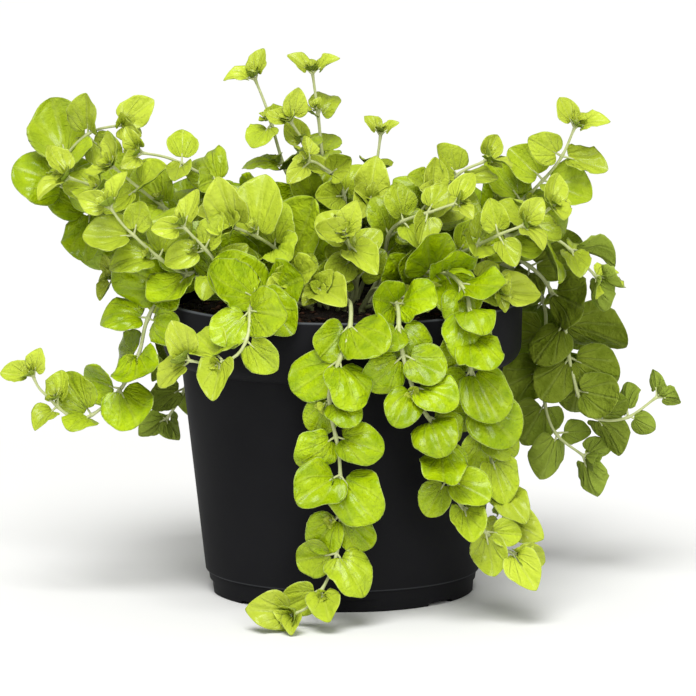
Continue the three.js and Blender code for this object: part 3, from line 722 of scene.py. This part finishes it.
def nursery_pot(material):
    """The moulded pot: foot, body, collar and lip, with its drainage cut out."""
    outside = [(0, 0, 0), (FOOT_RADIUS, 0, 0.7), (FOOT_RADIUS + 1.1, FOOT_HEIGHT - 0.5, 0.3),
               (STEP_RADIUS, FOOT_HEIGHT, 0.4)]
    collar = [(r, z, 0) for r, z in underside(0)]
    lip = [(RIM_RADIUS, POT_HEIGHT, LIP_ROUND), (RIM_RADIUS - WALL, POT_HEIGHT, LIP_ROUND)]
    inside = [(r, z, 0) for r, z in reversed(underside(WALL))]
    foot_inside = [(inside_radius(WALL_BOTTOM), WALL_BOTTOM, 0.5), (FOOT_INSIDE, FOOT_INSIDE_TOP, 0.5),
                   (FOOT_INSIDE, FLOOR, 1), (0, FLOOR, 0)]
    profile = rounded_profile([*outside, *collar, *lip, *inside, *foot_inside])
    pot = turned_object("pot_shell", profile, POT_SIDES, material)
    cutters = []
    for i in range(DRAIN_HOLES):
        angle = 2 * math.pi * i / DRAIN_HOLES
        place = (DRAIN_RING * math.cos(angle) * MM, DRAIN_RING * math.sin(angle) * MM, 0)
        bpy.ops.mesh.primitive_cylinder_add(vertices=HOLE_SIDES, radius=DRAIN_RADIUS * MM,
                                            depth=4 * FLOOR * MM, location=place)
        cutters.append(bpy.context.object)
    for i in range(FEET):
        middle = FIRST_FOOT + 2 * math.pi * i / FEET
        recess_centre = (FOOT_RADIUS - RECESS_DEPTH + CUTTER_REACH / 2, 0, 0)
        recess_size = (CUTTER_REACH, RECESS_WIDTH, 2 * RECESS_HEIGHT)
        cutters.append(box_at("recess", recess_size, recess_centre, middle))
        gap_centre = (FOOT_GAP_INNER + CUTTER_REACH / 2, 0, 0)
        gap_size = (CUTTER_REACH, FOOT_GAP_WIDTH, 2 * FOOT_GAP_HEIGHT)
        cutters.append(box_at("gap", gap_size, gap_centre, middle + math.pi / FEET))
    bpy.context.view_layer.update()
    cut(pot, cutters)
    pot.data.shade_smooth()
    pot.data.set_sharp_from_angle(angle=SHARP)
    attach(pot, "root")
    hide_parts("nursery_pot")


def mix_height(radius):
    """The mix is level in the middle and slopes down to the wall."""
    slope = (RIM_RADIUS - WALL - radius) / (RIM_RADIUS / 2)
    return MIX_TOP + MIX_CROWN * min(1, max(0, slope))


# The lumps on top of the mix: their height, how many there are to a millimetre, and their seed.
LUMPS = [(1.1, 0.16, 3), (0.9, 0.5, 7)]


def potting_mix(material):
    """The plug of mix, lumpy on top, that fills the pot."""
    sides, rings = 144, 44
    outer = COLLAR_RADIUS - WALL - MIX_GAP
    top = []
    for ring in range(rings, -1, -1):
        radius = outer * ring / rings
        height = mix_height(radius) - 0.5 * (ring == rings)
        for x, y, _ in ring_points(radius, height, sides):
            lumps = sum(high * noise.noise((x * often, y * often, at)) for high, often, at in LUMPS)
            top.append((x, y, height + lumps))
    foot = FOOT_INSIDE - MIX_FOOT_GAP
    lower = [(foot, FLOOR + 0.1), (foot, FOOT_INSIDE_TOP + 0.2),
             (inside_radius(WALL_BOTTOM) - MIX_FOOT_GAP, WALL_BOTTOM + 0.2),
             *underside(WALL + MIX_GAP, MIX_GAP)]
    wall = [point for radius, height in lower for point in ring_points(radius, height, sides)]
    rows = len(lower) + rings + 1
    faces = ring_faces(rows - 2, sides)
    last = (rows - 2) * sides
    points = wall + top[:-sides] + [top[-1]]
    middle = len(points) - 1
    faces += [(last + s, last + (s + 1) % sides, middle) for s in range(sides)]
    faces.append(tuple(reversed(range(sides))))
    build = Build()
    build.add(points, faces, 0)
    plug = build.to_object("mix_plug", [material])
    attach(plug, "root")
    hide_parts("potting_mix")


# Loose pieces on the mix: how many, smallest and largest size, flatness, and material slot.
CRUMBS = [(1500, 0.5, 1.9, 0.8, 0), (170, 1.6, 4.2, 0.35, 1), (60, 0.5, 1.3, 0.8, 2)]
CRUMB_SEED = 11
CRUMB_TILT = 0.35


def loose_crumbs(materials):
    """Peat crumbs, flat bark chips and a few pale grains, each bedded in the top of the mix."""
    shape = bmesh.new()
    bmesh.ops.create_icosphere(shape, subdivisions=1, radius=1)
    ball = np.array([v.co for v in shape.verts])
    faces = [tuple(v.index for v in f.verts) for f in shape.faces]
    shape.free()
    random = Random(CRUMB_SEED)
    build = Build()
    for count, small, large, flat, slot in CRUMBS:
        for _ in range(count):
            radius = (RIM_RADIUS - WALL - 3) * math.sqrt(random.random())
            angle = random.random() * 2 * math.pi
            size = (small + (large - small) * random.random() ** 2) / 2
            lumpy = ball * np.array([random.uniform(0.7, 1.25) for _ in ball])[:, None]
            lumpy = lumpy * [size * random.uniform(1, 1.6), size, size * flat]
            spin = Matrix.Rotation(random.uniform(0, 6.3), 3, "Z")
            turn = spin @ Matrix.Rotation(random.gauss(0, CRUMB_TILT), 3, "X")
            height = mix_height(radius) + 0.35 * size
            place = [radius * math.cos(angle), radius * math.sin(angle), height]
            build.add(lumpy @ np.array(turn).T + place, faces, slot, growth=(random.random(), 0, 0))
    crumbs = build.to_object("mix_crumbs", materials)
    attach(crumbs, "root")


# ---------------------------------------------------------------- materials
def colour(hexadecimal):
    """Linear RGBA from an sRGB hex colour."""
    parts = [int(hexadecimal[i:i + 2], 16) / 255 for i in (1, 3, 5)]
    return (*(c / 12.92 if c <= 0.04045 else ((c + 0.055) / 1.055) ** 2.4 for c in parts), 1)


def add(tree, kind, settings=None, links=None, **values):
    """Adds a node: its settings, its input values by name or number, and the sockets linked to it."""
    made = tree.nodes.new(kind)
    for name, value in (settings or {}).items():
        setattr(made, name, value)
    for name, value in values.items():
        made.inputs[name.replace("_", " ")].default_value = value
    for name, value in (links or {}).items():
        if isinstance(value, bpy.types.NodeSocket):
            tree.links.new(value, made.inputs[name])
        else:
            made.inputs[name].default_value = value
    return made


def material(name):
    made = bpy.data.materials.new(name)
    made.use_nodes = True
    made.node_tree.nodes.clear()
    return made, made.node_tree


MATH, RANGE, NOISE = "ShaderNodeMath", "ShaderNodeMapRange", "ShaderNodeTexNoise"
# A blend of two colours, and the numbers of its sockets.
BLEND = "ShaderNodeMix", {"data_type": "RGBA"}
FACTOR, FIRST, SECOND, MIXED = 0, 6, 7, 2

# Leaf patterns: blotches, and wrinkles to a vein's lane, across the blade and along it.
BLOTCH_SIZE = 0.006
WRINKLES = (3.2, 2.5, 12)
WRINKLE_DEPTH = 0.0011
LEAF_IOR = 1.42


def leaf_surface(
    name, deep, open_light, young, vein, margin, roughness, wax, glow, glow_share, raised
):
    """A living leaf side, coloured by age, by its depth in the mound (partly its real greener colour in
    shade, partly painted shade) and by veins, that is puckered and lets light through.
    """
    made, tree = material(name)
    grid = add(tree, "ShaderNodeAttribute", {"attribute_name": "leaf_grid"}).outputs["Vector"]
    growth = add(tree, "ShaderNodeAttribute", {"attribute_name": "leaf_growth"}).outputs["Vector"]
    place = add(tree, "ShaderNodeSeparateXYZ", links={0: grid})
    grown = add(tree, "ShaderNodeSeparateXYZ", links={0: growth})
    across = add(tree, MATH, {"operation": "ABSOLUTE"}, {0: place.outputs[1]}).outputs[0]
    off_vein = add(tree, MATH, {"operation": "PINGPONG"}, {0: place.outputs[0], 1: 0.5}).outputs[0]
    side_vein = add(tree, RANGE, {"interpolation_type": "SMOOTHSTEP"},
                    {0: off_vein, 1: 0.0, 2: 0.16, 3: 1.0, 4: 0.0}).outputs[0]
    midrib = add(tree, RANGE, {"interpolation_type": "SMOOTHSTEP"},
                 {0: across, 1: 0.0, 2: 0.09, 3: 1.0, 4: 0.0}).outputs[0]
    fade = add(tree, RANGE, links={0: across, 1: 0.55, 2: 0.95, 3: 1.0, 4: 0.1}).outputs[0]
    side_vein = add(tree, MATH, {"operation": "MULTIPLY"}, {0: side_vein, 1: fade}).outputs[0]
    veins = add(tree, MATH, {"operation": "MAXIMUM"}, {0: side_vein, 1: midrib}).outputs[0]
    position = add(tree, "ShaderNodeTexCoord").outputs["Object"]
    # Blotches are about 6 mm across. Between the veins the blade is puckered in wrinkles of 1 to 1.5 mm,
    # which follow the leaf's own grid, with its tone as the seed.
    blotch = add(tree, NOISE, links={"Vector": position}, Scale=1 / BLOTCH_SIZE, Detail=3).outputs[0]
    spread = add(tree, "ShaderNodeVectorMath", {"operation": "MULTIPLY"},
                 {0: grid, 1: WRINKLES}).outputs[0]
    seed = add(tree, MATH, {"operation": "MULTIPLY"}, {0: grown.outputs[0], 1: 9}).outputs[0]
    pucker = add(tree, NOISE, {"noise_dimensions": "4D"}, {"Vector": spread, "W": seed},
                 Scale=1, Detail=2, Distortion=0.6).outputs[0]
    blotch = add(tree, RANGE, links={0: blotch, 1: 0.34, 2: 0.62, 3: 0.3, 4: 1.0}).outputs[0]
    # Leaves deep in the mound are painted towards the deep colour: partly the greener colour that shaded
    # golden leaves really have, partly painted shade. The blotches are random tone.
    shade = add(tree, RANGE, links={0: grown.outputs[2], 1: 0.15, 2: 0.8, 3: 1.0, 4: 0.0}).outputs[0]
    blotch_and_painted_shade = add(tree, MATH, {"operation": "MULTIPLY"}, {0: blotch, 1: shade}).outputs[0]
    base = add(tree, *BLEND, {FACTOR: blotch_and_painted_shade, FIRST: colour(deep), SECOND: colour(open_light)})
    age = add(tree, MATH, {"operation": "MULTIPLY"}, {0: grown.outputs[1], 1: 0.8}).outputs[0]
    aged = add(tree, *BLEND, {FACTOR: age, FIRST: base.outputs[MIXED], SECOND: colour(young)})
    vein_share = add(tree, MATH, {"operation": "MULTIPLY"}, {0: veins, 1: 0.24}).outputs[0]
    veined = add(tree, *BLEND, {FACTOR: vein_share, FIRST: aged.outputs[MIXED], SECOND: colour(vein)})
    rim = add(tree, RANGE, links={0: across, 1: 0.955, 2: 1.0, 3: 0.0, 4: 0.4}).outputs[0]
    edged = add(tree, *BLEND, {FACTOR: rim, FIRST: veined.outputs[MIXED], SECOND: colour(margin)})
    tone = add(tree, RANGE, links={0: grown.outputs[0], 1: -1.0, 2: 1.0, 3: 0.86, 4: 1.12}).outputs[0]
    toned = add(tree, "ShaderNodeHueSaturation",
                links={"Value": tone, "Color": edged.outputs[MIXED]}).outputs[0]
    low = add(tree, MATH, {"operation": "MULTIPLY"}, {0: veins, 1: raised}).outputs[0]
    # A young leaf is smaller, so the same wrinkles are shallower on it.
    depth = add(tree, RANGE, links={0: grown.outputs[1], 1: 0.0, 2: 1.0, 3: 1.1, 4: 0.5}).outputs[0]
    puckered = add(tree, MATH, {"operation": "MULTIPLY_ADD"}, {0: pucker, 1: depth, 2: low}).outputs[0]
    bump = add(tree, "ShaderNodeBump", links={"Height": puckered},
               Strength=0.9, Distance=WRINKLE_DEPTH).outputs[0]
    skin = add(tree, "ShaderNodeBsdfPrincipled", links={"Base Color": toned, "Normal": bump},
               Roughness=roughness, IOR=LEAF_IOR, Specular_IOR_Level=0.12,
               Coat_Weight=wax, Coat_Roughness=0.22)
    through = add(tree, "ShaderNodeBsdfTranslucent", links={"Color": colour(glow), "Normal": bump})
    both = add(tree, "ShaderNodeMixShader",
               links={0: glow_share, 1: skin.outputs[0], 2: through.outputs[0]})
    add(tree, "ShaderNodeOutputMaterial", links={0: both.outputs[0]})
    return made


def leaf_upper():
    """Golden leaf, upper side: a waxy skin gives a satin shine over soft, yellow-green tissue."""
    return leaf_surface("golden_leaf_upper", deep="#86A800", open_light="#B4D008", young="#D3E24A",
                        vein="#C9DA5A", margin="#E0EBAE", roughness=0.42, wax=0.5,
                        glow="#BACE10", glow_share=0.2, raised=-0.3)


def leaf_under():
    """Golden leaf, underside: no wax, so it is duller and paler, and the veins stand up."""
    return leaf_surface("golden_leaf_under", deep="#687A14", open_light="#83932C", young="#A4BA48",
                        vein="#A3B25E", margin="#B4C275", roughness=0.62, wax=0,
                        glow="#8FA61E", glow_share=0.14, raised=0.5)


def young_stem():
    """Juicy stem: smooth, pale whitish green, with faint lengthwise streaks."""
    made, tree = material("juicy_pale_stem")
    position = add(tree, "ShaderNodeTexCoord").outputs["Object"]
    streak = add(tree, NOISE, links={"Vector": position}, Scale=1 / 0.003, Detail=4).outputs[0]
    tint = add(tree, *BLEND,
               {FACTOR: streak, FIRST: colour("#B4C070"), SECOND: colour("#E2E6B4")}).outputs[MIXED]
    bump = add(tree, "ShaderNodeBump", links={"Height": streak}, Strength=0.3, Distance=0.0002).outputs[0]
    skin = add(tree, "ShaderNodeBsdfPrincipled", links={"Base Color": tint, "Normal": bump},
               Roughness=0.38, IOR=LEAF_IOR)
    through = add(tree, "ShaderNodeBsdfTranslucent", links={"Color": colour("#D5E08A")})
    both = add(tree, "ShaderNodeMixShader", links={0: 0.15, 1: skin.outputs[0], 2: through.outputs[0]})
    add(tree, "ShaderNodeOutputMaterial", links={0: both.outputs[0]})
    return made


def black_polypropylene():
    """Black polypropylene, injection moulded: a fine satin grain leaves only a soft, broad sheen."""
    made, tree = material("black_polypropylene")
    position = add(tree, "ShaderNodeTexCoord").outputs["Object"]
    # Spark-eroded mould grain is about 0.15 mm; it is drawn at 0.35 mm so that it shows.
    grain = add(tree, NOISE, links={"Vector": position}, Scale=1 / 0.00035, Detail=2).outputs[0]
    smear = add(tree, NOISE, links={"Vector": position}, Scale=1 / 0.03, Detail=5).outputs[0]
    plain = add(tree, *BLEND,
                {FACTOR: smear, FIRST: colour("#18181A"), SECOND: colour("#212123")}).outputs[MIXED]
    # Painted highlights: the lip's edge and the top of the foot are painted paler, where light catches
    # them.
    height = add(tree, "ShaderNodeSeparateXYZ", links={0: position}).outputs[2]
    lip = add(tree, RANGE,
              links={0: height, 1: (POT_HEIGHT - 0.8) * MM, 2: (POT_HEIGHT - 0.3) * MM}).outputs[0]
    step = add(tree, MATH, {"operation": "COMPARE"},
               {0: height, 1: FOOT_HEIGHT * MM, 2: 0.3 * MM}).outputs[0]
    painted_edge_highlight = add(tree, MATH, {"operation": "MULTIPLY_ADD"}, {0: step, 1: 0.35, 2: lip}).outputs[0]
    tint = add(tree, *BLEND, {FACTOR: painted_edge_highlight, FIRST: plain, SECOND: colour("#54575A")}).outputs[MIXED]
    rough = add(tree, RANGE, links={0: smear, 1: 0.3, 2: 0.7, 3: 0.46, 4: 0.58}).outputs[0]
    bump = add(tree, "ShaderNodeBump", links={"Height": grain}, Strength=0.12, Distance=0.0001).outputs[0]
    skin = add(tree, "ShaderNodeBsdfPrincipled",
               links={"Base Color": tint, "Roughness": rough, "Normal": bump},
               IOR=1.49, Specular_IOR_Level=0.02)
    add(tree, "ShaderNodeOutputMaterial", links={0: skin.outputs[0]})
    return made


def mix_material(name, dark, light, grain):
    """A piece of potting mix: broken, dull and uneven in colour."""
    made, tree = material(name)
    position = add(tree, "ShaderNodeTexCoord").outputs["Object"]
    # The first value of leaf_growth is a crumb's own tone, so no two crumbs look the same.
    growth = add(tree, "ShaderNodeAttribute", {"attribute_name": "leaf_growth"}).outputs["Vector"]
    own = add(tree, "ShaderNodeSeparateXYZ", links={0: growth}).outputs[0]
    speck = add(tree, NOISE, links={"Vector": position}, Scale=1 / grain, Detail=5).outputs[0]
    share = add(tree, MATH, {"operation": "MULTIPLY_ADD"}, {0: own, 1: 0.5, 2: speck}).outputs[0]
    share = add(tree, RANGE, links={0: share, 1: 0.35, 2: 0.95, 3: 0.0, 4: 1.0}).outputs[0]
    tint = add(tree, *BLEND, {FACTOR: share, FIRST: colour(dark), SECOND: colour(light)}).outputs[MIXED]
    bump = add(tree, "ShaderNodeBump", links={"Height": speck}, Strength=0.8, Distance=grain / 2).outputs[0]
    skin = add(tree, "ShaderNodeBsdfPrincipled", links={"Base Color": tint, "Normal": bump},
               Roughness=0.95, IOR=1.45)
    add(tree, "ShaderNodeOutputMaterial", links={0: skin.outputs[0]})
    return made


def studio_floor():
    """Matt white paint: plain and pale."""
    made, tree = material("matt_white_floor")
    skin = add(tree, "ShaderNodeBsdfPrincipled", Base_Color=colour("#F7F7F5"), Roughness=0.8)
    add(tree, "ShaderNodeOutputMaterial", links={0: skin.outputs[0]})
    return made


# ---------------------------------------------------------------- stage, lights and camera
AIM = Vector((2, 0, 88)) * MM
CAMERA_DISTANCE = 2.5
CAMERA_ELEVATION = math.radians(9)
FRAME_WIDTH = 0.2513
SENSOR = 36
WORLD_STRENGTH = 0.4
FLOOR_SIZE = 24
KEY_FROM = Vector((-0.12, -0.66, 1.0))
KEY_POWER = 2.75
KEY_SPREAD = math.radians(35)
FILL_PLACE = Vector((0.5, -2.2, 0.9))
FILL_SIZE = 0.9
FILL_POWER = 14


def put(name, data, place, facing):
    """Puts a light or the camera at a place, facing a way."""
    made = bpy.data.objects.new(name, data)
    made.location = place
    made.rotation_euler = facing.to_track_quat("-Z", "Y").to_euler()
    bpy.context.scene.collection.objects.link(made)
    return made


def stage():
    """A pale floor under an even white sky, a wide high key light and a soft fill from the front."""
    bpy.ops.mesh.primitive_plane_add(size=FLOOR_SIZE)
    floor = bpy.context.object
    floor.name = "floor"
    floor.data.materials.append(studio_floor())
    world = bpy.data.worlds.new("studio")
    world.use_nodes = True
    background = world.node_tree.nodes["Background"]
    background.inputs[0].default_value = colour("#FFFFFF")
    background.inputs[1].default_value = WORLD_STRENGTH
    bpy.context.scene.world = world
    bpy.context.scene.view_settings.view_transform = "Standard"
    sun = bpy.data.lights.new("key", "SUN")
    sun.energy, sun.angle = KEY_POWER, KEY_SPREAD
    put("key", sun, Vector((0, 0, 0)), -KEY_FROM)
    fill = bpy.data.lights.new("front_fill", "AREA")
    fill.shape, fill.size, fill.energy = "DISK", FILL_SIZE, FILL_POWER
    put("front_fill", fill, FILL_PLACE, AIM - FILL_PLACE)
    camera = bpy.data.cameras.new("camera")
    camera.sensor_width = SENSOR
    camera.lens = SENSOR * CAMERA_DISTANCE / FRAME_WIDTH
    camera.clip_start, camera.clip_end = 0.05, 60
    away = Vector((0, -math.cos(CAMERA_ELEVATION), math.sin(CAMERA_ELEVATION)))
    bpy.context.scene.camera = put("camera", camera, AIM + CAMERA_DISTANCE * away, -away)


# ---------------------------------------------------------------- the whole plant
stage()
nursery_pot(black_polypropylene())
peat = mix_material("moist_peat", "#120C08", "#3B2A1F", grain=0.0012)
bark = mix_material("composted_bark", "#2E1A12", "#6E4A38", grain=0.002)
grit = mix_material("pale_grit", "#8F8578", "#CFC6B8", grain=0.001)
potting_mix(peat)
loose_crumbs([peat, bark, grit])

runners = [Runner(name, **facts) for name, facts in RUNNERS.items()]
foliage = [leaf_upper(), leaf_under(), young_stem()]
for index, runner in enumerate(runners):
    others = [leaf for other in runners for leaf in other.leaves if other is not runner]
    stems = np.vstack([other.samples for other in runners if other is not runner])
    runner.grow(index + 1, others, stems)
for index, runner in enumerate(runners):
    runner_piece(runner, index + 1, foliage)
